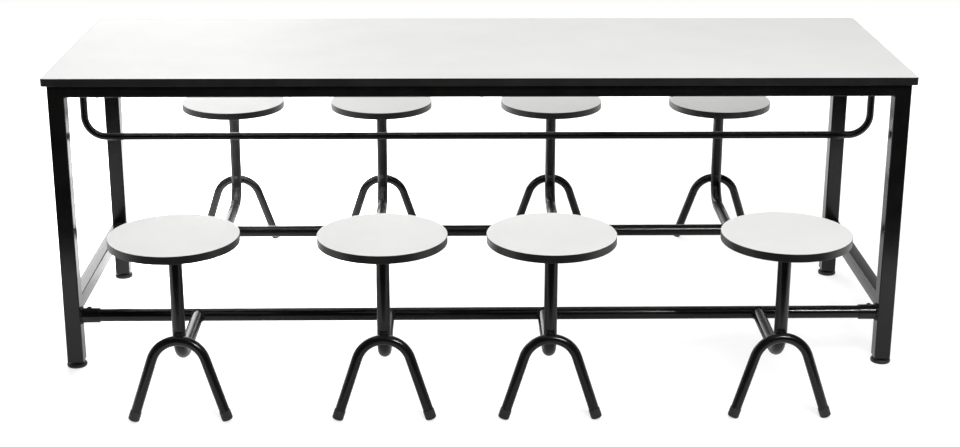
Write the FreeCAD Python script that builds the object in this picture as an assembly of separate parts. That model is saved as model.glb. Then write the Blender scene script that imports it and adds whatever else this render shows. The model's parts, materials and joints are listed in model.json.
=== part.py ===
"""Canteen table with eight attached swivel seats, as separate welded, plugged and turning pieces.

Millimetres, +Z up. The origin is on the floor under the middle of the tabletop. +X runs along the
table and -Y is the front row of seats.
"""

import FreeCAD, Part
import math
import os
from FreeCAD import Vector

# Table
TABLE_LENGTH = 2100.0
TABLE_WIDTH = 700.0
TABLE_HEIGHT = 750.0
BOARD_THICKNESS = 19.0
BOARD_CORNER_RADIUS = 8.0
BOARD_OVERHANG = 12.0  # beyond the legs, all round

# Square legs and the rectangular tubes between them
LEG_WIDTH = 40.0
LEG_CORNER_RADIUS = 3.0
LEG_BOTTOM = 15.0  # height of the open lower end above the floor
APRON_HEIGHT = 30.0
APRON_DEPTH = 20.0
BEARER_SPACING = 700.0  # between the two hidden bearers under the top
END_RAIL_HEIGHT = 40.0
END_RAIL_DEPTH = 30.0
END_RAIL_BOTTOM = 128.0
TUBE_WALL = 1.5  # square, rectangular and round tubes alike

# Bag rail, an upturned bow under the top
BAG_RAIL_DIAMETER = 19.0
BAG_RAIL_HEIGHT = 509.0  # its axis above the floor
BAG_RAIL_BEND = 55.0

# Seat rails, plugged into sockets on the legs
RAIL_HEIGHT = 135.0  # axis of the seat rails and of the arms
SEAT_RAIL_DIAMETER = 32.0
SOCKET_WALL = 2.6
SOCKET_CLEARANCE = 0.25
SOCKET_LENGTH = 46.0

# Plugs in the unused holes on the front legs' inner faces
HOLE_PLUG_DIAMETER = 15.0
HOLE_PLUG_THICKNESS = 3.5
HOLE_PLUG_HEIGHTS = (358.0, 600.0)

# Seats
SEAT_DIAMETER = 300.0
SEAT_HEIGHT = 447.0
SEAT_THICKNESS = 19.0
SEAT_REACH = 255.0  # from the tabletop's long edge out to the seat's axis

# Where the seats stand: the outer ones from the tabletop's ends, the inner ones from its middle
FRONT_SEAT_1_FROM_END = 342.0
FRONT_SEAT_2_FROM_MIDDLE = 232.0
FRONT_SEAT_3_FROM_MIDDLE = 157.0
FRONT_SEAT_4_FROM_END = 352.0
REAR_SEAT_1_FROM_END = 329.0
REAR_SEAT_2_FROM_MIDDLE = 281.0
REAR_SEAT_3_FROM_MIDDLE = 225.0
REAR_SEAT_4_FROM_END = 321.0

# Swivel: a plate on a spindle that turns in a nylon sleeve
PLATE_WIDTH = 110.0
PLATE_CORNER = 12.0
PLATE_THICKNESS = 3.0
SPINDLE_DIAMETER = 16.0
SPINDLE_CLEARANCE = 0.05
SPINDLE_END_GAP = 1.0
SLEEVE_PROUD = 3.0  # the sleeve stands above the post and carries the plate
SLEEVE_ABOVE_GROOVE = 25.0
RETAINER_DIAMETER = 8.0  # the screw whose tip stands in the spindle's groove
RETAINER_PROUD = 3.0
GROOVE_DEPTH = 2.0
GROOVE_FROM_END = 2.0
GROOVE_CLEARANCE = 0.5

# Seat post with its arm, one bent tube
POST_DIAMETER = 31.0
POST_BEND = 70.0

# Arched leg under each seat
STOOL_LEG_DIAMETER = 24.0
STOOL_LEG_CROWN = 196.0  # axis height at the top of the arch
STOOL_LEG_BEND = 65.0
STOOL_LEG_SPLAY = 18.0  # degrees from upright
STOOL_LEG_LEAN = 5.0  # degrees outward
STOOL_LEG_SADDLE = 2.5  # depth of the hollow that fits the post
TIP_DIAMETER = 26.5
TIP_LENGTH = 23.0

# Levelling feet
FOOT_DIAMETER = 50.0
FOOT_THICKNESS = 10.0
STEM_DIAMETER = 10.0
STEM_LENGTH = 55.0
STEM_CLEARANCE = 0.05
INSERT_LENGTH = 20.0

BEND_STEP = 18.0  # degrees turned by each mitred piece of a bend
MITRED = 1  # makePipeShell then joins the straight pieces with sharp corners

# Places that follow from the sizes
X_AXIS = Vector(1, 0, 0)
Y_AXIS = Vector(0, 1, 0)
Z_AXIS = Vector(0, 0, 1)
UNDER_TOP = TABLE_HEIGHT - BOARD_THICKNESS
LEG_OUT_X = TABLE_LENGTH / 2 - BOARD_OVERHANG
LEG_OUT_Y = TABLE_WIDTH / 2 - BOARD_OVERHANG
LEG_IN_X = LEG_OUT_X - LEG_WIDTH
LEG_IN_Y = LEG_OUT_Y - LEG_WIDTH
LEG_X = LEG_OUT_X - LEG_WIDTH / 2
LEG_Y = LEG_OUT_Y - LEG_WIDTH / 2
SEAT_Y = TABLE_WIDTH / 2 + SEAT_REACH
SEAT_UNDER = SEAT_HEIGHT - SEAT_THICKNESS
PLATE_UNDER = SEAT_UNDER - PLATE_THICKNESS
POST_TOP = PLATE_UNDER - SLEEVE_PROUD
BORE_FLOOR = RAIL_HEIGHT + POST_BEND
SPINDLE_END = BORE_FLOOR + SPINDLE_END_GAP
GROOVE_BOTTOM = SPINDLE_END + GROOVE_FROM_END
GROOVE_TOP = GROOVE_BOTTOM + RETAINER_DIAMETER + 2 * GROOVE_CLEARANCE
RETAINER_HEIGHT = (GROOVE_BOTTOM + GROOVE_TOP) / 2
POST_BORE = POST_DIAMETER - 2 * TUBE_WALL
SOCKET_BORE = SEAT_RAIL_DIAMETER + 2 * SOCKET_CLEARANCE
SOCKET_DIAMETER = SOCKET_BORE + 2 * SOCKET_WALL
FRONT_SEATS_X = (
    FRONT_SEAT_1_FROM_END - TABLE_LENGTH / 2,
    -FRONT_SEAT_2_FROM_MIDDLE,
    FRONT_SEAT_3_FROM_MIDDLE,
    TABLE_LENGTH / 2 - FRONT_SEAT_4_FROM_END,
)
REAR_SEATS_X = (
    REAR_SEAT_1_FROM_END - TABLE_LENGTH / 2,
    -REAR_SEAT_2_FROM_MIDDLE,
    REAR_SEAT_3_FROM_MIDDLE,
    TABLE_LENGTH / 2 - REAR_SEAT_4_FROM_END,
)
ROWS = (("front", -1, FRONT_SEATS_X), ("rear", 1, REAR_SEATS_X))
CORNERS = (("front_left", -1, -1), ("front_right", 1, -1), ("rear_left", -1, 1), ("rear_right", 1, 1))


def rod(start, end, diameter):
    return Part.makeCylinder(diameter / 2, (end - start).Length, start, end - start)


def upright(x, y, low, high, diameter):
    return rod(Vector(x, y, low), Vector(x, y, high), diameter)


def box(low, high):
    return Part.makeBox(high.x - low.x, high.y - low.y, high.z - low.z, low)


def box_tube(low, high, axis, wall):
    """A rectangular tube that fills low..high and is open at both ends of its axis."""
    across = Vector(1, 1, 1) - axis
    return box(low, high).cut(box(low + across * wall, high - across * wall))


def edges_along(shape, axis):
    def runs_along(edge):
        span = edge.Vertexes[-1].Point - edge.Vertexes[0].Point
        return span.Length > 0 and span.cross(axis).Length < 1e-6 * span.Length
    return [edge for edge in shape.Edges if runs_along(edge)]


def bent_path(corners, bend_radius):
    """The points of a line whose corners are rounded in equal steps."""
    path = [corners[0]]
    for before, corner, after in zip(corners, corners[1:], corners[2:]):
        heading = (corner - before).normalize()
        leaving = (after - corner).normalize()
        turn = math.degrees(heading.getAngle(leaving))
        start = corner - heading * bend_radius * math.tan(math.radians(turn / 2))
        axis = heading.cross(leaving).normalize()
        centre = start + axis.cross(heading) * bend_radius
        steps = max(1, round(turn / BEND_STEP))
        for i in range(steps + 1):
            path.append(centre + FreeCAD.Rotation(axis, turn * i / steps).multVec(start - centre))
    return path + [corners[-1]]


def bent_rod(corners, diameter, bend_radius):
    path = bent_path(corners, bend_radius)
    profile = Part.Wire([Part.makeCircle(diameter / 2, path[0], path[1] - path[0])])
    return Part.Wire(Part.makePolygon(path)).makePipeShell([profile], True, False, MITRED)


def tabletop():
    board = box(
        Vector(-TABLE_LENGTH / 2, -TABLE_WIDTH / 2, UNDER_TOP),
        Vector(TABLE_LENGTH / 2, TABLE_WIDTH / 2, TABLE_HEIGHT),
    )
    return board.makeFillet(BOARD_CORNER_RADIUS, edges_along(board, Z_AXIS))


def leg(side, end):
    low = Vector(side * LEG_X - LEG_WIDTH / 2, end * LEG_Y - LEG_WIDTH / 2, LEG_BOTTOM)
    high = Vector(side * LEG_X + LEG_WIDTH / 2, end * LEG_Y + LEG_WIDTH / 2, UNDER_TOP)
    outside = box(low, high)
    outside = outside.makeFillet(LEG_CORNER_RADIUS, edges_along(outside, Z_AXIS))
    wall = Vector(TUBE_WALL, TUBE_WALL, 0)
    return outside.cut(box(low + wall, high - wall))


def long_apron(end):
    near, far = sorted((end * (LEG_OUT_Y - APRON_DEPTH), end * LEG_OUT_Y))
    low = Vector(-LEG_IN_X, near, UNDER_TOP - APRON_HEIGHT)
    return box_tube(low, Vector(LEG_IN_X, far, UNDER_TOP), X_AXIS, TUBE_WALL)


def end_tube(side, depth, low_z, high_z):
    """A tube between the front and rear legs, flush with their outer faces."""
    near, far = sorted((side * (LEG_OUT_X - depth), side * LEG_OUT_X))
    return box_tube(Vector(near, -LEG_IN_Y, low_z), Vector(far, LEG_IN_Y, high_z), Y_AXIS, TUBE_WALL)


def cross_bearers():
    reach = LEG_OUT_Y - APRON_DEPTH
    bearers = []
    for x in (-BEARER_SPACING / 2, BEARER_SPACING / 2):
        low = Vector(x - APRON_DEPTH / 2, -reach, UNDER_TOP - APRON_HEIGHT)
        bearers.append(box_tube(low, Vector(x + APRON_DEPTH / 2, reach, UNDER_TOP), Y_AXIS, TUBE_WALL))
    return bearers


def bag_rail():
    x = LEG_OUT_X - APRON_DEPTH / 2
    top = UNDER_TOP - APRON_HEIGHT
    corners = [
        Vector(-x, 0, top),
        Vector(-x, 0, BAG_RAIL_HEIGHT),
        Vector(x, 0, BAG_RAIL_HEIGHT),
        Vector(x, 0, top),
    ]
    return bent_rod(corners, BAG_RAIL_DIAMETER, BAG_RAIL_BEND)


def rail_line(end, reach):
    return Vector(-reach, end * LEG_Y, RAIL_HEIGHT), Vector(reach, end * LEG_Y, RAIL_HEIGHT)


def seat_rail(end):
    left, right = rail_line(end, LEG_IN_X)
    bore_diameter = SEAT_RAIL_DIAMETER - 2 * TUBE_WALL
    return rod(left, right, SEAT_RAIL_DIAMETER).cut(rod(left, right, bore_diameter))


def rail_socket(side, end):
    face = Vector(side * LEG_IN_X, end * LEG_Y, RAIL_HEIGHT)
    mouth = face - X_AXIS * side * SOCKET_LENGTH
    return rod(face, mouth, SOCKET_DIAMETER).cut(rod(face, mouth, SOCKET_BORE))


def hole_plug(side, height):
    face = Vector(side * LEG_IN_X, -LEG_Y, height)
    return rod(face, face - X_AXIS * side * HOLE_PLUG_THICKNESS, HOLE_PLUG_DIAMETER)


def seat_board(x, y):
    return upright(x, y, SEAT_UNDER, SEAT_HEIGHT, SEAT_DIAMETER)


def swivel(x, y):
    half = PLATE_WIDTH / 2
    plate = box(Vector(x - half, y - half, PLATE_UNDER), Vector(x + half, y + half, SEAT_UNDER))
    plate = plate.makeChamfer(PLATE_CORNER, edges_along(plate, Z_AXIS))
    neck_diameter = SPINDLE_DIAMETER - 2 * GROOVE_DEPTH
    spindle = [
        upright(x, y, SPINDLE_END, GROOVE_BOTTOM, SPINDLE_DIAMETER),
        upright(x, y, GROOVE_BOTTOM, GROOVE_TOP, neck_diameter),
        upright(x, y, GROOVE_TOP, PLATE_UNDER, SPINDLE_DIAMETER),
    ]
    return plate.fuse(spindle)


def swivel_sleeve(x, y):
    bottom = GROOVE_TOP + SLEEVE_ABOVE_GROOVE
    bore = upright(x, y, bottom, PLATE_UNDER, SPINDLE_DIAMETER + 2 * SPINDLE_CLEARANCE)
    return upright(x, y, bottom, PLATE_UNDER, POST_BORE).cut(bore)


def retaining_screw(x, y, row):
    """Holds the spindle down: its tip stands in the groove, clear of the neck."""
    neck = SPINDLE_DIAMETER / 2 - GROOVE_DEPTH + GROOVE_CLEARANCE
    tip = Vector(x, y - row * neck, RETAINER_HEIGHT)
    head = Vector(x, y - row * (POST_DIAMETER / 2 + RETAINER_PROUD), RETAINER_HEIGHT)
    return rod(tip, head, RETAINER_DIAMETER)


def post_outside(x, y, row):
    """The post and its arm in one bent tube."""
    corners = [Vector(x, y, POST_TOP), Vector(x, y, RAIL_HEIGHT), Vector(x, row * LEG_Y, RAIL_HEIGHT)]
    return bent_rod(corners, POST_DIAMETER, POST_BEND)


def seat_post(x, y, row, rail):
    """Bored for the sleeve and the retaining screw, and fitted to the rail."""
    bore = upright(x, y, BORE_FLOOR, POST_TOP, POST_BORE)
    return post_outside(x, y, row).cut([bore, rail, retaining_screw(x, y, row)])


def leg_slope(row):
    """Which way a stool leg's plane runs down from the crown, leaning outward."""
    lean = math.radians(STOOL_LEG_LEAN)
    return Vector(0, row * math.sin(lean), -math.cos(lean))


def stool_leg_line(x, y, row, height):
    """The left foot, the apex where the two legs' axes meet, and the right foot."""
    offset = (POST_DIAMETER + STOOL_LEG_DIAMETER) / 2 - STOOL_LEG_SADDLE
    crown = Vector(x, y + row * offset, STOOL_LEG_CROWN)
    splay = math.radians(STOOL_LEG_SPLAY)
    slope = leg_slope(row)
    apex = crown - slope * STOOL_LEG_BEND * (1 / math.sin(splay) - 1)
    drop = (apex.z - height) / -slope.z
    foot = apex + slope * drop
    spread = X_AXIS * drop * math.tan(splay)
    return foot - spread, apex, foot + spread


def tip_height():
    """Height of the middle of a tip's lower end when its rim touches the floor."""
    upright_part = math.cos(math.radians(STOOL_LEG_SPLAY)) * math.cos(math.radians(STOOL_LEG_LEAN))
    return TIP_DIAMETER / 2 * math.sqrt(1 - upright_part**2)


def stool_leg(x, y, row):
    left, apex, right = stool_leg_line(x, y, row, tip_height())
    ends = [end + (apex - end).normalize() * TIP_LENGTH for end in (left, right)]
    arch = bent_rod([ends[0], apex, ends[1]], STOOL_LEG_DIAMETER, STOOL_LEG_BEND)
    return arch.cut(post_outside(x, y, row))


def leg_tips(x, y, row):
    left, apex, right = stool_leg_line(x, y, row, tip_height())
    return [rod(end, end + (apex - end).normalize() * TIP_LENGTH, TIP_DIAMETER) for end in (left, right)]


def levelling_foot(side, end):
    x, y = side * LEG_X, end * LEG_Y
    disc = upright(x, y, 0, FOOT_THICKNESS, FOOT_DIAMETER)
    return disc.fuse(upright(x, y, FOOT_THICKNESS, FOOT_THICKNESS + STEM_LENGTH, STEM_DIAMETER))


def leveller_insert(side, end):
    x, y = side * LEG_X, end * LEG_Y
    half = LEG_WIDTH / 2 - TUBE_WALL
    top = LEG_BOTTOM + INSERT_LENGTH
    block = box(Vector(x - half, y - half, LEG_BOTTOM), Vector(x + half, y + half, top))
    return block.cut(upright(x, y, LEG_BOTTOM, top, STEM_DIAMETER + 2 * STEM_CLEARANCE))


def export(name, solids):
    shape = solids[0] if len(solids) == 1 else Part.makeCompound(solids)
    shape.exportStep(f"parts/{name}.step")


def main():
    os.makedirs("parts", exist_ok=True)
    export("tabletop", [tabletop()])
    export("cross_bearers", cross_bearers())
    export("bag_rail", [bag_rail()])
    apron_bottom = UNDER_TOP - APRON_HEIGHT
    for name, side in (("left", -1), ("right", 1)):
        export(f"{name}_end_apron", [end_tube(side, APRON_DEPTH, apron_bottom, UNDER_TOP)])
        end_rail_top = END_RAIL_BOTTOM + END_RAIL_HEIGHT
        export(f"{name}_lower_rail", [end_tube(side, END_RAIL_DEPTH, END_RAIL_BOTTOM, end_rail_top)])
    for name, side, end in CORNERS:
        export(f"{name}_leg", [leg(side, end)])
        export(f"{name}_foot", [levelling_foot(side, end)])
    ends = [(side, end) for _, side, end in CORNERS]
    export("rail_sockets", [rail_socket(side, end) for side, end in ends])
    export("leveller_inserts", [leveller_insert(side, end) for side, end in ends])
    plugs = [hole_plug(side, z) for side in (-1, 1) for z in HOLE_PLUG_HEIGHTS]
    export("leg_hole_plugs", plugs)

    sleeves, screws, tips = [], [], []
    for row_name, row, seats_x in ROWS:
        export(f"{row_name}_apron", [long_apron(row)])
        export(f"{row_name}_seat_rail", [seat_rail(row)])
        y = row * SEAT_Y
        rail = rod(*rail_line(row, LEG_IN_X), SEAT_RAIL_DIAMETER)
        for number, x in enumerate(seats_x, start=1):
            export(f"{row_name}_seat_{number}", [seat_board(x, y)])
            export(f"{row_name}_swivel_{number}", [swivel(x, y)])
            frame = [seat_post(x, y, row, rail), stool_leg(x, y, row)]
            export(f"{row_name}_stool_frame_{number}", frame)
            sleeves.append(swivel_sleeve(x, y))
            screws.append(retaining_screw(x, y, row))
            tips += leg_tips(x, y, row)
    export("swivel_sleeves", sleeves)
    export("retaining_screws", screws)
    export("stool_leg_tips", tips)


main()
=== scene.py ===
"""The looks of the canteen table with attached swivel seats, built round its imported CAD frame."""

import json
import math

import bmesh
import bpy
from mathutils import Matrix, Vector


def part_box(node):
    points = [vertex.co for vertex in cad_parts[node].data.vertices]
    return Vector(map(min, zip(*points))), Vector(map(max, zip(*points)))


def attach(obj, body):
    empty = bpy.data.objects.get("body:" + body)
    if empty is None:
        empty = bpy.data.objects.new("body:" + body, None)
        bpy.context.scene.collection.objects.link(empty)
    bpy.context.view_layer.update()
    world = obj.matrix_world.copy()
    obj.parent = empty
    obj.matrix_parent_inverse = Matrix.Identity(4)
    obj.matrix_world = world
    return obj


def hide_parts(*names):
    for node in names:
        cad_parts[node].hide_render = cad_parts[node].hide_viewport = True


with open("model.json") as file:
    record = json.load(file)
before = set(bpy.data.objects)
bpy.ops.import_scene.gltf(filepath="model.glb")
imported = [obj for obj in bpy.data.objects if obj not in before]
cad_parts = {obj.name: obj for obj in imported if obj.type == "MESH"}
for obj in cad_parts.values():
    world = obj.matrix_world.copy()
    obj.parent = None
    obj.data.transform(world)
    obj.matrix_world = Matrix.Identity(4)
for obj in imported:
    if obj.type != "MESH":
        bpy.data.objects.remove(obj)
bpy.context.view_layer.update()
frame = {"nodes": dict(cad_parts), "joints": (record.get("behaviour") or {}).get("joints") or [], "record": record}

X_AXIS = Vector((1, 0, 0))
Y_AXIS = Vector((0, 1, 0))
Z_AXIS = Vector((0, 0, 1))

# Sizes in metres that the frame's boxes don't give

# Boards
BOARD_CORNER = 0.008
EDGE_BREAK = 0.0006

# Tubes
TUBE_CORNER = 0.0025
POST_RADIUS = 0.0155
POST_BEND = 0.070
BAG_RAIL_RADIUS = 0.0095
BAG_RAIL_BEND = 0.055
BORE_GAP = 0.0002  # between a tube and what is pushed over it
SOCKET_MOUTH_BREAK = 0.001

# Arched legs and their ferrules
STOOL_LEG_RADIUS = 0.012
STOOL_LEG_BEND = 0.065
STOOL_LEG_CROWN = 0.196
STOOL_LEG_SPLAY = math.radians(18)
STOOL_LEG_LEAN = math.radians(5)
STOOL_LEG_SADDLE = 0.0025
TIP_RADIUS = 0.01325
TIP_LENGTH = 0.023
TIP_ROUND = 0.004
TIP_LIP_BREAK = 0.0006

# Caps of the plugs in the front legs' holes
PLUG_RADIUS = 0.0075
PLUG_THICKNESS = 0.0035
PLUG_RIM = 0.0008

# Levelling feet
STEM_RADIUS = 0.005
GLIDE_LOWER_EDGE = ((0.003, 0.0), (0.0008, 0.0008), (0.0, 0.003))  # inset and height
GLIDE_SHOULDER = 0.0052
GLIDE_ROUND = 0.006
GLIDE_THICKNESS = 0.010
COLLAR_RADIUS = 0.0085
COLLAR_TOP = 0.0126

# Screws
PLATE_THICKNESS = 0.003
PLATE_SCREW_RADIUS = 0.0042
PLATE_SCREW_INSET = 0.016
TABLETOP_SCREW_RADIUS = 0.0045
TABLETOP_SCREW_PITCH = 0.46
END_SCREW_Y = 0.2
SOCKET_SCREW_RADIUS = 0.0068
SOCKET_SCREW_INSET = 0.020
SOCKET_SCREW_SUNK = 0.0004
RETAINER_RADIUS = 0.004
RETAINER_TIP = 0.0065  # from the spindle's axis
RETAINER_HEAD_RADIUS = 0.0048
RETAINER_HEAD_SUNK = 0.0006

# Weld beads: their radii, and how far their middles stand off the steel
FRAME_BEAD = 0.0026
END_RAIL_BEAD = 0.0032
UPRIGHT_BEAD_STOP = 0.001  # below the upper face of the tube
RING_BEAD_LIFT = 0.001  # off the face that a ring lies on
BAG_RAIL_BEAD = 0.0018
SOCKET_BEAD = 0.0030
SOCKET_BEAD_CLEAR = 0.0006
ARM_BEAD = 0.0030
CROWN_BEAD = 0.0034
CROWN_BEAD_CLEAR = 0.0008
CROWN_BEAD_RISE = 0.0105
CROWN_BEAD_REACH = 38  # degrees to each side

# How finely round things are drawn
TUBE_SIDES = 40
SEAT_SIDES = 144
GLIDE_SIDES = 64
SCREW_SIDES = 24
BEAD_SIDES = 12
ARM_BEAD_STEPS = 160
CROWN_BEAD_STEPS = 40
BAG_RAIL_BEAD_STEPS = 96
SOCKET_BEAD_STEPS = 120
BEND_STEP = math.radians(6)
SHARP_ANGLE = math.radians(32)

CORNERS = {  # the signs of x and y
    "front_left": (-1, -1),
    "front_right": (1, -1),
    "rear_left": (-1, 1),
    "rear_right": (1, 1),
}
SIDES = (-1, 1)
ROWS = {"front": -1, "rear": 1}
SEATS = [(row, number) for row in ROWS for number in (1, 2, 3, 4)]

# Places read from the frame
rail_low, rail_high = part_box("front_seat_rail")
leg_low, leg_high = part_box("front_left_leg")
top_low, top_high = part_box("tabletop")
socket_low, socket_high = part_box("rail_sockets")
RAIL_HEIGHT = (rail_low.z + rail_high.z) / 2
RAIL_RADIUS = (rail_high.z - rail_low.z) / 2
LEG_X = -(leg_low.x + leg_high.x) / 2
LEG_Y = -(leg_low.y + leg_high.y) / 2
LEG_IN_X = -leg_high.x
LEG_IN_Y = -leg_high.y
SOCKET_RADIUS = (socket_high.z - socket_low.z) / 2
APRON_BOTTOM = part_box("front_apron")[0].z
END_APRON_X = -sum(corner.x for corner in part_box("left_end_apron")) / 2
BAG_RAIL_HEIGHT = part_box("bag_rail")[0].z + BAG_RAIL_RADIUS
POST_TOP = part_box("front_stool_frame_1")[1].z
SEAT_AXIS = {j["child"]: Vector(j["pos_m"]) for j in frame["joints"] if j["type"] == "hinge"}


# Forms. Each is a list of points and a list of faces.


def skin(rings, closed=False, capped=True):
    """A skin over rings that have equally many points and run the same way round."""
    count = len(rings[0])
    points = [Vector(point) for ring in rings for point in ring]
    pairs = [(i, i + 1) for i in range(len(rings) - 1)]
    if closed:
        pairs.append((len(rings) - 1, 0))
    faces = []
    for a, b in pairs:
        for i in range(count):
            j = (i + 1) % count
            faces.append((a * count + i, a * count + j, b * count + j, b * count + i))
    if capped and not closed:
        faces.append(tuple(range(count)))
        faces.append(tuple(range(len(points) - count, len(points))))
    return points, faces


def circle(centre, across, up, radius, sides=TUBE_SIDES):
    """A ring of points."""
    turns = (2 * math.pi * i / sides for i in range(sides))
    return [centre + (across * math.cos(t) + up * math.sin(t)) * radius for t in turns]


def hexagon(centre, across, up, radius, sides):
    """A hexagon drawn with as many points as the rings that it joins."""
    ring = []
    for i in range(sides):
        t = 2 * math.pi * i / sides
        in_side = (t + math.pi / 6) % (math.pi / 3) - math.pi / 6
        reach = radius / math.cos(in_side)
        ring.append(centre + (across * math.cos(t) + up * math.sin(t)) * reach)
    return ring


def two_across(axis):
    """Two directions that are square to axis and to each other."""
    across = axis.cross(Z_AXIS if abs(axis.z) < 0.9 else X_AXIS).normalized()
    return across, axis.cross(across).normalized()


def revolve(origin, axis, profile, sides=TUBE_SIDES, closed=False):
    """The (radius, height) points of profile turned about an axis."""
    axis = axis.normalized()
    across, up = two_across(axis)
    rings = [circle(origin + axis * h, across, up, r, sides) for r, h in profile]
    return skin(rings, closed)


def rounded_path(corners, bend_radius):
    """The points of a line whose corners are rounded to one radius."""
    path = [corners[0]]
    for before, corner, after in zip(corners, corners[1:], corners[2:]):
        heading = (corner - before).normalized()
        leaving = (after - corner).normalized()
        turn = heading.angle(leaving)
        start = corner - heading * bend_radius * math.tan(turn / 2)
        axis = heading.cross(leaving).normalized()
        centre = start + axis.cross(heading) * bend_radius
        steps = math.ceil(turn / BEND_STEP)
        for i in range(steps + 1):
            path.append(centre + Matrix.Rotation(turn * i / steps, 3, axis) @ (start - centre))
    return path + [corners[-1]]


def fine_line(start, end, step=0.0005):
    """The points of a straight line in short steps."""
    steps = max(1, round((end - start).length / step))
    return [start.lerp(end, i / steps) for i in range(steps)] + [end]


def sweep(path, radii, sides=TUBE_SIDES, closed=False):
    """A round bar along a path. radii is one radius, or one for each point."""
    if not isinstance(radii, (list, tuple)):
        radii = [radii] * len(path)
    count = len(path)
    rings = []
    across = None
    for i, point in enumerate(path):
        before = path[i - 1] if i or closed else point
        after = path[(i + 1) % count] if i < count - 1 or closed else point
        heading = (after - before).normalized()
        if across is None:
            across = two_across(heading)[0]
        across = (across - heading * across.dot(heading)).normalized()
        rings.append(circle(point, across, heading.cross(across), radii[i], sides))
    return skin(rings, closed)


def rounded_rectangle(centre, across, up, width, height, corner, steps=5):
    """A ring round a rectangle with rounded corners."""
    ring = []
    for quarter, (a, b) in enumerate(((1, 1), (-1, 1), (-1, -1), (1, -1))):
        middle = centre + across * a * (width / 2 - corner) + up * b * (height / 2 - corner)
        for i in range(steps + 1):
            t = math.pi / 2 * (quarter + i / steps)
            ring.append(middle + (across * math.cos(t) + up * math.sin(t)) * corner)
    return ring


def box_bar(node, axis):
    """A rectangular tube with rounded corners that fills a node's box along axis."""
    low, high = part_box(node)
    centre = (low + high) / 2
    size = high - low
    across, up = (Y_AXIS, Z_AXIS) if axis == X_AXIS else (X_AXIS, Z_AXIS)
    reach = axis * abs(size.dot(axis)) / 2
    width, height = size.dot(across), size.dot(up)
    rings = [
        rounded_rectangle(centre + end, across, up, width, height, TUBE_CORNER)
        for end in (-reach, reach)
    ]
    return skin(rings)


def board(outline, low, high):
    """The faces and the edge of a board. outline(inset) gives its ring at height 0."""
    levels = (
        (EDGE_BREAK, low),
        (0, low + EDGE_BREAK),
        (0, high - EDGE_BREAK),
        (EDGE_BREAK, high),
    )
    rings = [[p + Z_AXIS * z for p in outline(inset)] for inset, z in levels]
    faces = [(ring, [tuple(range(len(ring)))]) for ring in (rings[0], rings[-1])]
    return faces, skin(rings, capped=False)


def bead(path, radius=FRAME_BEAD, closed=False, ripple=0.12, pitch=0.0018):
    """A weld bead along a path, with the ripples that the weld pool leaves and round ends."""
    lengths = [0.0]
    for a, b in zip(path, path[1:]):
        lengths.append(lengths[-1] + (b - a).length)
    total = lengths[-1]
    round_length = 1.6 * radius
    thinnest = 0.06
    radii = []
    for along in lengths:
        swell = 1 + ripple * math.sin(2 * math.pi * along / pitch)
        from_end = min(along, total - along) / round_length
        if closed or from_end >= 1:
            taper = 1
        else:
            taper = math.sqrt(max(thinnest, 1 - (1 - from_end) ** 2))
        radii.append(radius * swell * taper)
    return sweep(path, radii, BEAD_SIDES, closed)


def button_head(origin, axis, radius):
    """A domed screw head with a hexagon socket, seated at origin and pointing along axis."""
    axis = axis.normalized()
    across, up = two_across(axis)
    height = radius * 0.62
    rim = height * 0.18
    dome = [(radius, 0.0), (radius, rim)]
    for degrees in (15, 30, 45, 58):
        t = math.radians(degrees)
        dome.append((radius * math.cos(t), rim + (height - rim) * math.sin(t)))
    rings = [circle(origin + axis * h, across, up, r, SCREW_SIDES) for r, h in dome]
    socket_radius, socket_mouth, socket_floor = radius * 0.42, height * 0.97, height * 0.35
    for h in (socket_mouth, socket_floor):
        rings.append(hexagon(origin + axis * h, across, up, socket_radius, SCREW_SIDES))
    return skin(rings)


# Materials


def shader(name, base, roughness, metallic=0.0, specular=0.5):
    """A plain material, its tree and its surface node."""
    made = bpy.data.materials.new(name)
    made.use_nodes = True
    tree = made.node_tree
    surface = tree.nodes["Principled BSDF"]
    surface.inputs["Base Color"].default_value = (*base, 1)
    surface.inputs["Roughness"].default_value = roughness
    surface.inputs["Metallic"].default_value = metallic
    surface.inputs["Specular IOR Level"].default_value = specular
    return made, tree, surface


def noise(tree, scale, detail=2.0, stretch=(1, 1, 1)):
    """A noise over the object's own metres. stretch squeezes it along an axis."""
    place = tree.nodes.new("ShaderNodeTexCoord")
    mapping = tree.nodes.new("ShaderNodeMapping")
    mapping.inputs["Scale"].default_value = stretch
    texture = tree.nodes.new("ShaderNodeTexNoise")
    texture.inputs["Scale"].default_value = scale
    texture.inputs["Detail"].default_value = detail
    tree.links.new(place.outputs["Object"], mapping.inputs["Vector"])
    tree.links.new(mapping.outputs["Vector"], texture.inputs["Vector"])
    return texture.outputs["Fac"]


def spread(tree, value, low, high, from_low=0.3, from_high=0.7):
    """The range from_low..from_high, by default a noise's middle, spread over low..high."""
    node = tree.nodes.new("ShaderNodeMapRange")
    node.inputs["From Min"].default_value = from_low
    node.inputs["From Max"].default_value = from_high
    node.inputs["To Min"].default_value = low
    node.inputs["To Max"].default_value = high
    tree.links.new(value, node.inputs["Value"])
    return node.outputs["Result"]


def between(tree, factor, colour_a, colour_b):
    """The mix of two colours."""
    node = tree.nodes.new("ShaderNodeMix")
    node.data_type = "RGBA"
    node.inputs["A"].default_value = (*colour_a, 1)
    node.inputs["B"].default_value = (*colour_b, 1)
    tree.links.new(factor, node.inputs["Factor"])
    return node.outputs["Result"]


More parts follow.
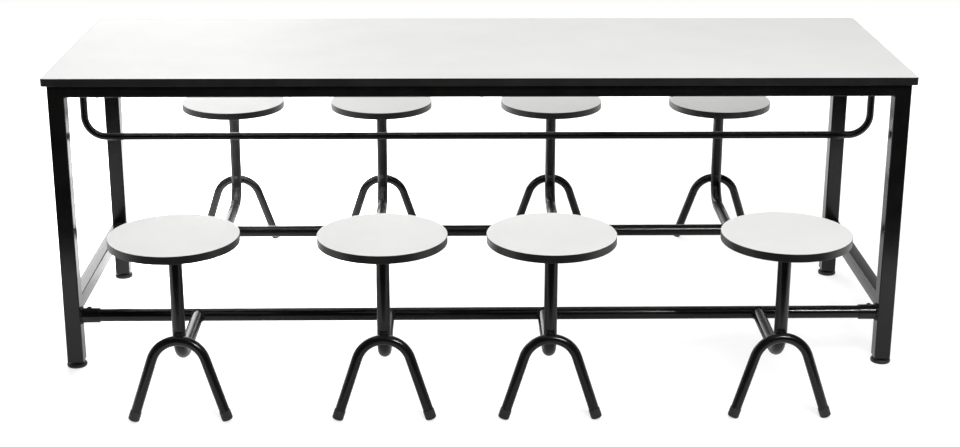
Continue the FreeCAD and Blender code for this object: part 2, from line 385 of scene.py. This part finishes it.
def material(name, base, roughness, colours, relief, gloss=None, metallic=0.0, specular=0.5):
    """A material with a noise in its colour, its roughness and its relief.

    base and roughness are its plain values. colours is (colour, colour, noise), gloss is
    (least roughness, most roughness, noise) and relief is (strength, depth, noise), where a
    noise is (scale, detail) or (scale, detail, stretch).
    """
    made, tree, surface = shader(name, base, roughness, metallic, specular)
    colour_a, colour_b, pattern = colours
    tone = spread(tree, noise(tree, *pattern), 0, 1)
    tree.links.new(between(tree, tone, colour_a, colour_b), surface.inputs["Base Color"])
    if gloss:
        least, most, pattern = gloss
        rough = spread(tree, noise(tree, *pattern), least, most)
        tree.links.new(rough, surface.inputs["Roughness"])
    strength, depth, pattern = relief
    bump = tree.nodes.new("ShaderNodeBump")
    bump.inputs["Strength"].default_value = strength
    bump.inputs["Distance"].default_value = depth
    tree.links.new(noise(tree, *pattern), bump.inputs["Height"])
    tree.links.new(bump.outputs["Normal"], surface.inputs["Normal"])
    return made


# Melamine face: matt, with a fine stipple
WHITE = material(
    "white_laminate",
    (0.8, 0.8, 0.79),
    0.5,
    colours=((0.80, 0.80, 0.79), (0.83, 0.83, 0.82), (7, 5)),
    gloss=(0.45, 0.55, (45, 3)),
    relief=(0.08, 0.0002, (1500, 2)),
    specular=0.15,
)

# The plastic band glued round a board's edge, with faint lines from its trimming
TRIM_LINES = (60, 3, (0.25, 0.25, 22))
EDGE = material(
    "black_edge_band",
    (0.009, 0.009, 0.009),
    0.34,
    colours=((0.007, 0.007, 0.007), (0.013, 0.012, 0.012), (30, 4)),
    gloss=(0.30, 0.40, TRIM_LINES),
    relief=(0.05, 0.0002, TRIM_LINES),
)

# Semi-gloss black, with the faint orange peel of a baked powder
POWDER = material(
    "black_powder_coat",
    (0.005, 0.005, 0.005),
    0.18,
    colours=((0.003, 0.003, 0.003), (0.0055, 0.0052, 0.005), (22, 4)),
    gloss=(0.16, 0.21, (60, 3)),
    relief=(0.10, 0.0003, (900, 1)),
    specular=0.36,
)

# Moulded with a fine grain
PLASTIC = material(
    "black_plastic",
    (0.012, 0.012, 0.012),
    0.5,
    colours=((0.010, 0.010, 0.010), (0.017, 0.017, 0.017), (35, 3)),
    gloss=(0.44, 0.58, (80, 3)),
    relief=(0.2, 0.0002, (2600, 2)),
)

ZINC = material(
    "zinc_plated_steel",
    (0.6, 0.61, 0.63),
    0.34,
    colours=((0.56, 0.57, 0.60), (0.66, 0.66, 0.66), (90, 4)),
    gloss=(0.28, 0.42, (220, 3)),
    relief=(0.08, 0.0002, (1200, 2, (1, 1, 6))),
    metallic=1.0,
)

NYLON = material(
    "nylon",
    (0.74, 0.72, 0.66),
    0.45,
    colours=((0.72, 0.70, 0.64), (0.78, 0.76, 0.71), (60, 3)),
    relief=(0.1, 0.0002, (900, 2)),
)

BLACK_STEEL = material(
    "black_screws",
    (0.03, 0.03, 0.03),
    0.33,
    colours=((0.02, 0.02, 0.02), (0.05, 0.05, 0.05), (300, 3)),
    gloss=(0.26, 0.42, (500, 2)),
    relief=(0.1, 0.0001, (1800, 2)),
    metallic=0.6,
)

SLOT_MATERIALS = {
    "white_laminate": WHITE,
    "black_powder_coat": POWDER,
    "black_plastic": PLASTIC,
    "zinc_plated_steel": ZINC,
    "nylon": NYLON,
    "black_screws": BLACK_STEEL,
}


def dress_cad_nodes():
    """The CAD nodes that stay in view get their slot's material and smooth round faces."""
    for entry in frame["record"]["subparts"]:
        node = frame["nodes"][entry["node"]]
        node.data.shade_smooth()
        for slot in node.material_slots:
            slot.material = SLOT_MATERIALS[entry["material_slot"]]


# Pieces


def piece(name, forms, body, slot, replaces=(), edges=()):
    """One mesh object. Its forms wear the slot's material and its edges the edge band."""
    mesh = bpy.data.meshes.new(name)
    bm = bmesh.new()
    for number, group in enumerate((forms, edges)):
        for points, faces in group:
            verts = [bm.verts.new(point) for point in points]
            for face in faces:
                made = bm.faces.new([verts[i] for i in face])
                made.material_index = number
                made.smooth = True
    bmesh.ops.remove_doubles(bm, verts=bm.verts, dist=1e-6)
    bmesh.ops.recalc_face_normals(bm, faces=bm.faces)
    bm.to_mesh(mesh)
    bm.free()
    mesh.set_sharp_from_angle(angle=SHARP_ANGLE)
    mesh.materials.append(SLOT_MATERIALS[slot])
    if edges:
        mesh.materials.append(EDGE)
    obj = bpy.data.objects.new(name, mesh)
    bpy.context.scene.collection.objects.link(obj)
    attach(obj, body)
    if replaces:
        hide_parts(*replaces)


def make_board(name, outline, low, high, body, node):
    faces, edge = board(outline, low, high)
    piece(name, faces, body, "white_laminate", [node], [edge])


def make_tabletop():
    size = top_high - top_low
    centre = Vector(((top_low.x + top_high.x) / 2, (top_low.y + top_high.y) / 2, 0))

    def outline(inset):
        width, depth = size.x - 2 * inset, size.y - 2 * inset
        return rounded_rectangle(centre, X_AXIS, Y_AXIS, width, depth, BOARD_CORNER - inset)

    make_board("tabletop_board", outline, top_low.z, top_high.z, "table", "tabletop")


def make_seat(row, number):
    body = f"{row}_swivel_seat_{number}"
    node = f"{row}_seat_{number}"
    low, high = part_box(node)
    axis = Vector((SEAT_AXIS[body].x, SEAT_AXIS[body].y, 0))
    radius = (high.x - low.x) / 2

    def outline(inset):
        return circle(axis, X_AXIS, Y_AXIS, radius - inset, SEAT_SIDES)

    make_board(f"{node}_board", outline, low.z, high.z, body, node)
    plate_low, plate_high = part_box(f"{row}_swivel_{number}")
    half = (plate_high.x - plate_low.x) / 2 - PLATE_SCREW_INSET
    underside = low.z - PLATE_THICKNESS
    heads = [
        button_head(axis + Vector((a * half, b * half, underside)), -Z_AXIS, PLATE_SCREW_RADIUS)
        for a in (-1, 1) for b in (-1, 1)
    ]
    piece(f"{node}_plate_screws", heads, body, "black_screws")


def stool_leg_corners(x, y, row_sign, height):
    """Where an arched leg's straight parts start, meet and end."""
    crown_y = y + row_sign * (POST_RADIUS + STOOL_LEG_RADIUS - STOOL_LEG_SADDLE)
    crown = Vector((x, crown_y, STOOL_LEG_CROWN))
    slope = Vector((0, row_sign * math.sin(STOOL_LEG_LEAN), -math.cos(STOOL_LEG_LEAN)))
    apex = crown - slope * STOOL_LEG_BEND * (1 / math.sin(STOOL_LEG_SPLAY) - 1)
    drop = (apex.z - height) / -slope.z
    foot = apex + slope * drop
    half_spread = X_AXIS * drop * math.tan(STOOL_LEG_SPLAY)
    return foot - half_spread, apex, foot + half_spread


def tip_height():
    """How high the middle of a rounded tip's end is when the tip stands on the floor."""
    upright = math.cos(STOOL_LEG_SPLAY) * math.cos(STOOL_LEG_LEAN)
    tilt = math.sqrt(1 - upright ** 2)
    return (TIP_RADIUS - TIP_ROUND) * tilt + TIP_ROUND * (1 - upright)


def arm_bead(x, row_sign):
    """The saddle-shaped bead where an arm meets the seat rail."""
    points = []
    for i in range(ARM_BEAD_STEPS):
        t = 2 * math.pi * i / ARM_BEAD_STEPS
        above = POST_RADIUS * math.sin(t)
        points.append(Vector((
            x + POST_RADIUS * math.cos(t),
            row_sign * (LEG_Y + math.sqrt(RAIL_RADIUS ** 2 - above ** 2)),
            RAIL_HEIGHT + above,
        )))
    return bead(points, ARM_BEAD, closed=True)


def crown_beads(x, y, row_sign):
    """Two short fillets round the post, above and under the arch's crown."""
    reach = POST_RADIUS + CROWN_BEAD_CLEAR
    beads = []
    for rise in (CROWN_BEAD_RISE, -CROWN_BEAD_RISE):
        points = []
        for i in range(CROWN_BEAD_STEPS + 1):
            t = math.radians(-CROWN_BEAD_REACH + 2 * CROWN_BEAD_REACH * i / CROWN_BEAD_STEPS)
            points.append(Vector((
                x + reach * math.sin(t),
                y + row_sign * reach * math.cos(t),
                STOOL_LEG_CROWN + rise,
            )))
        beads.append(bead(points, CROWN_BEAD))
    return beads


def make_stool(row, number):
    row_sign = ROWS[row]
    axis = SEAT_AXIS[f"{row}_swivel_seat_{number}"]
    x, y = axis.x, axis.y
    corners = [
        Vector((x, y, POST_TOP)),
        Vector((x, y, RAIL_HEIGHT)),
        Vector((x, row_sign * LEG_Y, RAIL_HEIGHT)),
    ]
    post = sweep(rounded_path(corners, POST_BEND), POST_RADIUS)
    left, apex, right = stool_leg_corners(x, y, row_sign, tip_height())
    ends = [end + (apex - end).normalized() * TIP_LENGTH / 2 for end in (left, right)]
    arch = sweep(rounded_path([ends[0], apex, ends[1]], STOOL_LEG_BEND), STOOL_LEG_RADIUS)
    forms = [post, arch, arm_bead(x, row_sign)] + crown_beads(x, y, row_sign)
    node = f"{row}_stool_frame_{number}"
    piece(f"{node}_tubes", forms, "table", "black_powder_coat", [node])


def make_tips():
    profile = [
        (STOOL_LEG_RADIUS + BORE_GAP, TIP_LENGTH),
        (TIP_RADIUS - TIP_LIP_BREAK, TIP_LENGTH),
        (TIP_RADIUS, TIP_LENGTH - TIP_LIP_BREAK),
    ]
    steps = 5
    for i in range(steps + 1):
        t = math.pi / 2 * i / steps
        radius = TIP_RADIUS - TIP_ROUND * (1 - math.cos(t))
        profile.append((radius, TIP_ROUND * (1 - math.sin(t))))
    tips = []
    for row, number in SEATS:
        axis = SEAT_AXIS[f"{row}_swivel_seat_{number}"]
        left, apex, right = stool_leg_corners(axis.x, axis.y, ROWS[row], tip_height())
        tips += [revolve(end, apex - end, profile) for end in (left, right)]
    piece("stool_leg_ferrules", tips, "table", "black_plastic", ["stool_leg_tips"])


def make_frame_tubes():
    for node, axis in (
        ("front_apron", X_AXIS),
        ("rear_apron", X_AXIS),
        ("left_end_apron", Y_AXIS),
        ("right_end_apron", Y_AXIS),
        ("left_lower_rail", Y_AXIS),
        ("right_lower_rail", Y_AXIS),
    ):
        piece(f"{node}_tube", [box_bar(node, axis)], "table", "black_powder_coat", [node])


def make_bag_rail():
    corners = [
        Vector((-END_APRON_X, 0, APRON_BOTTOM)),
        Vector((-END_APRON_X, 0, BAG_RAIL_HEIGHT)),
        Vector((END_APRON_X, 0, BAG_RAIL_HEIGHT)),
        Vector((END_APRON_X, 0, APRON_BOTTOM)),
    ]
    forms = [sweep(rounded_path(corners, BAG_RAIL_BEND), BAG_RAIL_RADIUS)]
    for side in SIDES:
        centre = Vector((side * END_APRON_X, 0, APRON_BOTTOM - RING_BEAD_LIFT))
        ring = circle(centre, X_AXIS, Y_AXIS, BAG_RAIL_RADIUS, BAG_RAIL_BEAD_STEPS)
        forms.append(bead(ring, BAG_RAIL_BEAD, closed=True))
    piece("bag_rail_tube", forms, "table", "black_powder_coat", ["bag_rail"])


def socket_inner_end():
    """How far from the middle a socket's mouth is."""
    node = frame["nodes"]["rail_sockets"]
    return min(abs(vertex.co.x) for vertex in node.data.vertices)


def make_sockets():
    length = LEG_IN_X - socket_inner_end()
    profile = [
        (RAIL_RADIUS + BORE_GAP, 0.0),
        (SOCKET_RADIUS, 0.0),
        (SOCKET_RADIUS, length - SOCKET_MOUTH_BREAK),
        (SOCKET_RADIUS - SOCKET_MOUTH_BREAK, length),
        (RAIL_RADIUS + BORE_GAP, length),
    ]
    sockets, screws, beads = [], [], []
    for side, end in CORNERS.values():
        face = Vector((side * LEG_IN_X, end * LEG_Y, RAIL_HEIGHT))
        inward = -X_AXIS * side
        sockets.append(revolve(face, inward, profile, closed=True))
        crest = Z_AXIS * (SOCKET_RADIUS - SOCKET_SCREW_SUNK)
        seat = face + inward * SOCKET_SCREW_INSET + crest
        screws.append(button_head(seat, Z_AXIS, SOCKET_SCREW_RADIUS))
        centre = face + inward * RING_BEAD_LIFT
        radius = SOCKET_RADIUS + SOCKET_BEAD_CLEAR
        ring = circle(centre, Y_AXIS, Z_AXIS, radius, SOCKET_BEAD_STEPS)
        beads.append(bead(ring, SOCKET_BEAD, closed=True))
    piece("rail_socket_tubes", sockets, "table", "black_powder_coat", ["rail_sockets"])
    piece("rail_socket_screws", screws, "table", "black_screws")
    piece("rail_socket_welds", beads, "table", "black_powder_coat")


def make_hole_plugs():
    low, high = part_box("leg_hole_plugs")
    profile = [(PLUG_RADIUS, 0.0), (PLUG_RADIUS, PLUG_RIM)]
    for degrees in range(12, 90, 12):
        t = math.radians(degrees)
        height = PLUG_RIM + (PLUG_THICKNESS - PLUG_RIM) * math.sin(t)
        profile.append((PLUG_RADIUS * math.cos(t), height))
    caps = []
    for side in SIDES:
        for z in (low.z + PLUG_RADIUS, high.z - PLUG_RADIUS):
            face = Vector((side * LEG_IN_X, -LEG_Y, z))
            caps.append(revolve(face, -X_AXIS * side, profile))
    piece("leg_plug_caps", caps, "table", "black_plastic", ["leg_hole_plugs"])


def make_retaining_screws():
    low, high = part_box("retaining_screws")
    height = (low.z + high.z) / 2
    shank = [(RETAINER_RADIUS, RETAINER_TIP), (RETAINER_RADIUS, POST_RADIUS)]
    screws = []
    for row, number in SEATS:
        axis = SEAT_AXIS[f"{row}_swivel_seat_{number}"]
        inward = -Y_AXIS * ROWS[row]
        centre = Vector((axis.x, axis.y, height))
        seat = centre + inward * (POST_RADIUS - RETAINER_HEAD_SUNK)
        screws.append(revolve(centre, inward, shank, SCREW_SIDES))
        screws.append(button_head(seat, inward, RETAINER_HEAD_RADIUS))
    piece("retaining_screw_heads", screws, "table", "black_screws", ["retaining_screws"])


def make_feet():
    for name, (side, end) in CORNERS.items():
        node = f"{name}_foot"
        low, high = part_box(node)
        axis = Vector((side * LEG_X, end * LEG_Y, low.z))
        radius = (high.x - low.x) / 2
        profile = [(radius - inset, height) for inset, height in GLIDE_LOWER_EDGE]
        profile.append((radius, GLIDE_SHOULDER))
        for degrees in range(15, 90, 15):
            t = math.radians(degrees)
            height = GLIDE_SHOULDER + (GLIDE_THICKNESS - GLIDE_SHOULDER) * math.sin(t)
            profile.append((radius - GLIDE_ROUND * (1 - math.cos(t)), height))
        profile += [
            (COLLAR_RADIUS, GLIDE_THICKNESS),
            (COLLAR_RADIUS, COLLAR_TOP),
            (STEM_RADIUS, COLLAR_TOP),
            (STEM_RADIUS, high.z - low.z),
        ]
        glide = revolve(axis, Z_AXIS, profile, GLIDE_SIDES)
        piece(f"{node}_glide", [glide], f"{name}_levelling_foot", "black_plastic", [node])


def make_frame_welds():
    """Fillet beads in the corners between the legs and what is welded to them."""
    beads = []
    for name, (side, end) in CORNERS.items():
        row_name, side_name = name.split("_")
        apron, end_apron = f"{row_name}_apron", f"{side_name}_end_apron"
        end_rail = f"{side_name}_lower_rail"
        for node in (apron, end_apron, end_rail):
            low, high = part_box(node)
            if node == apron:
                inner_y = min(abs(low.y), abs(high.y)) * end
                corner = Vector((side * LEG_IN_X, inner_y, 0))
                underside = [Vector((side * LEG_IN_X, y, low.z)) for y in (low.y, high.y)]
            else:
                inner_x = min(abs(low.x), abs(high.x)) * side
                corner = Vector((inner_x, end * LEG_IN_Y, 0))
                underside = [Vector((x, end * LEG_IN_Y, low.z)) for x in (low.x, high.x)]
            upright = [corner + Z_AXIS * z for z in (low.z, high.z - UPRIGHT_BEAD_STOP)]
            beads.append(bead(fine_line(*upright)))
            beads.append(bead(fine_line(*underside)))
            if node == end_rail:
                upper_side = [Vector((point.x, point.y, high.z)) for point in underside]
                beads.append(bead(fine_line(*upper_side), END_RAIL_BEAD))
    piece("frame_welds", beads, "table", "black_powder_coat")


def make_tabletop_screws():
    places = []
    for row in ROWS:
        low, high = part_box(f"{row}_apron")
        for i in (-2, -1, 0, 1, 2):
            places.append(Vector((i * TABLETOP_SCREW_PITCH, (low.y + high.y) / 2, low.z)))
    for side in SIDES:
        for y in (-END_SCREW_Y, END_SCREW_Y):
            places.append(Vector((side * END_APRON_X, y, APRON_BOTTOM)))
    heads = [button_head(place, -Z_AXIS, TABLETOP_SCREW_RADIUS) for place in places]
    piece("tabletop_screws", heads, "table", "black_screws")


# Stage


def path_weights(tree):
    """How much a ray counts as the camera's, and as a reflected or transmitted one."""
    rays = tree.nodes.new("ShaderNodeLightPath")
    glossy, transmitted = rays.outputs["Is Glossy Ray"], rays.outputs["Is Transmission Ray"]
    return rays.outputs["Is Camera Ray"], arithmetic(tree, "MAXIMUM", glossy, transmitted)


def arithmetic(tree, operation, a, b):
    """What a math node makes of two values."""
    node = tree.nodes.new("ShaderNodeMath")
    node.operation = operation
    tree.links.new(a, node.inputs[0])
    tree.links.new(b, node.inputs[1])
    return node.outputs["Value"]


def make_floor():
    """Pale paper that keeps the shadow and looks white to the camera. Far off it looks white in reflections too;
    nearer the table, reflections see it darker, which is painted shade.
    """
    mesh = bpy.data.meshes.new("floor")
    left, right, near, far = -4.0, 4.0, -1.15, 4.0
    corners = [(left, near, 0), (right, near, 0), (right, far, 0), (left, far, 0)]
    mesh.from_pydata(corners, [], [(0, 1, 2, 3)])
    floor = bpy.data.objects.new("floor", mesh)
    bpy.context.scene.collection.objects.link(floor)

    grey = (0.5, 0.5, 0.5)
    paper, tree, surface = shader("floor", grey, 0.9, specular=0.0)
    camera, mirrored = path_weights(tree)
    # Reflections see a darker paper than the camera does: painted shade in the black steel's reflections
    colour = between(tree, mirrored, grey, (0.2, 0.2, 0.2))
    tree.links.new(colour, surface.inputs["Base Color"])

    # The glow grows with the distance from the table's middle, in metres
    place = tree.nodes.new("ShaderNodeTexCoord")
    away = tree.nodes.new("ShaderNodeVectorMath")
    away.operation = "LENGTH"
    tree.links.new(place.outputs["Object"], away.inputs[0])
    distance = away.outputs["Value"]
    shown = arithmetic(tree, "MULTIPLY", camera, spread(tree, distance, 0.60, 0.95, 1.5, 3.0))
    # The reflected glow is weakest near the table's middle: painted shade under and round the table, seen in
    # reflections
    reflected = arithmetic(tree, "MULTIPLY", mirrored, spread(tree, distance, 0.1, 1.0, 0.5, 1.5))
    glow = tree.nodes.new("ShaderNodeEmission")
    tree.links.new(arithmetic(tree, "ADD", shown, reflected), glow.inputs["Strength"])
    both = tree.nodes.new("ShaderNodeAddShader")
    tree.links.new(surface.outputs["BSDF"], both.inputs[0])
    tree.links.new(glow.outputs["Emission"], both.inputs[1])
    tree.links.new(both.outputs["Shader"], tree.nodes["Material Output"].inputs["Surface"])
    mesh.materials.append(paper)


def make_world():
    """White to the camera.

    Reflections show the white behind the table, and a dim room in front of it and above.
    """
    soft_light = 0.36
    world = bpy.data.worlds.new("studio")
    bpy.context.scene.world = world
    world.use_nodes = True
    tree = world.node_tree
    background = tree.nodes["Background"]
    background.inputs["Color"].default_value = (1, 1, 1, 1)
    camera, mirrored = path_weights(tree)
    direction = tree.nodes.new("ShaderNodeTexCoord")
    parts = tree.nodes.new("ShaderNodeSeparateXYZ")
    tree.links.new(direction.outputs["Generated"], parts.inputs["Vector"])
    behind = spread(tree, parts.outputs["Y"], 0.03, 1.0, -0.4, 0.4)
    low = spread(tree, parts.outputs["Z"], 1.0, 0.15, 0.18, 0.42)
    backdrop = arithmetic(tree, "MULTIPLY", behind, low)
    reflected = arithmetic(tree, "MULTIPLY", mirrored, backdrop)
    soft = spread(tree, mirrored, soft_light, 0.0, 0, 1)
    strength = arithmetic(tree, "MAXIMUM", arithmetic(tree, "ADD", soft, reflected), camera)
    tree.links.new(strength, background.inputs["Strength"])


def area_light(name, place, target, width, height, power, diffuse=True, glossy=True):
    """A lamp that the camera doesn't see, and that surfaces may scatter, mirror or both."""
    data = bpy.data.lights.new(name, "AREA")
    data.shape = "RECTANGLE"
    data.size = width
    data.size_y = height
    data.energy = power
    lamp = bpy.data.objects.new(name, data)
    lamp.location = place
    lamp.rotation_euler = (Vector(target) - Vector(place)).to_track_quat("-Z", "Y").to_euler()
    lamp.visible_camera = False
    lamp.visible_diffuse = diffuse
    lamp.visible_glossy = glossy
    bpy.context.scene.collection.objects.link(lamp)


def make_lights():
    # Name, place, what it points at, width, height, watts
    area_light("key", (-1.95, 3.7, 1.2), (-0.3, 0, 0.5), 2.2, 2.0, 43)
    area_light("key_top", (-1.1, 3.7, 2.2), (-0.8, -0.5, 0.15), 1.4, 0.7, 7, diffuse=False)
    area_light("back", (-0.6, 3.0, 1.35), (0, 0.4, 0.5), 3.0, 0.8, 100, glossy=False)
    area_light("front", (0.85, -3.5, 3.5), (0.45, -0.5, 0.4), 2.7, 1.6, 168, glossy=False)
    area_light("strip", (1.6, -2.9, 2.9), (0.5, -0.3, 0.3), 1.3, 0.10, 102, diffuse=False)
    area_light("floor_light", (-0.85, 1.05, 0.42), (-0.85, 1.05, 0), 0.9, 1.5, 75, glossy=False)


def make_camera():
    """The viewpoint of the picture: above the front row, a little left of the middle."""
    place = Vector((-0.07244, -4.23697, 1.71170))
    yaw = 0.022069
    pitch = 0.305112
    roll = 0.003633
    focal_px = 1676.29
    offset_px = (6.98, -40.00)
    width_px = 960
    forward = Vector((
        math.sin(yaw) * math.cos(pitch),
        math.cos(yaw) * math.cos(pitch),
        -math.sin(pitch),
    ))
    right = Vector((math.cos(yaw), -math.sin(yaw), 0))
    up = right.cross(forward)
    rolled_right = right * math.cos(roll) + up * math.sin(roll)
    rolled_up = up * math.cos(roll) - right * math.sin(roll)
    data = bpy.data.cameras.new("camera")
    data.sensor_width = 36
    data.lens = focal_px / width_px * data.sensor_width
    data.shift_x = -offset_px[0] / width_px
    data.shift_y = offset_px[1] / width_px
    data.clip_end = 200
    camera = bpy.data.objects.new("camera", data)
    camera.matrix_world = Matrix((
        (rolled_right.x, rolled_up.x, -forward.x, place.x),
        (rolled_right.y, rolled_up.y, -forward.y, place.y),
        (rolled_right.z, rolled_up.z, -forward.z, place.z),
        (0, 0, 0, 1),
    ))
    bpy.context.scene.collection.objects.link(camera)
    bpy.context.scene.camera = camera


dress_cad_nodes()
make_tabletop()
make_frame_tubes()
make_bag_rail()
make_sockets()
make_hole_plugs()
make_feet()
make_frame_welds()
make_tabletop_screws()
make_retaining_screws()
make_tips()
for row, number in SEATS:
    make_seat(row, number)
    make_stool(row, number)
make_floor()
make_world()
make_lights()
make_camera()
bpy.context.scene.view_settings.view_transform = "Standard"
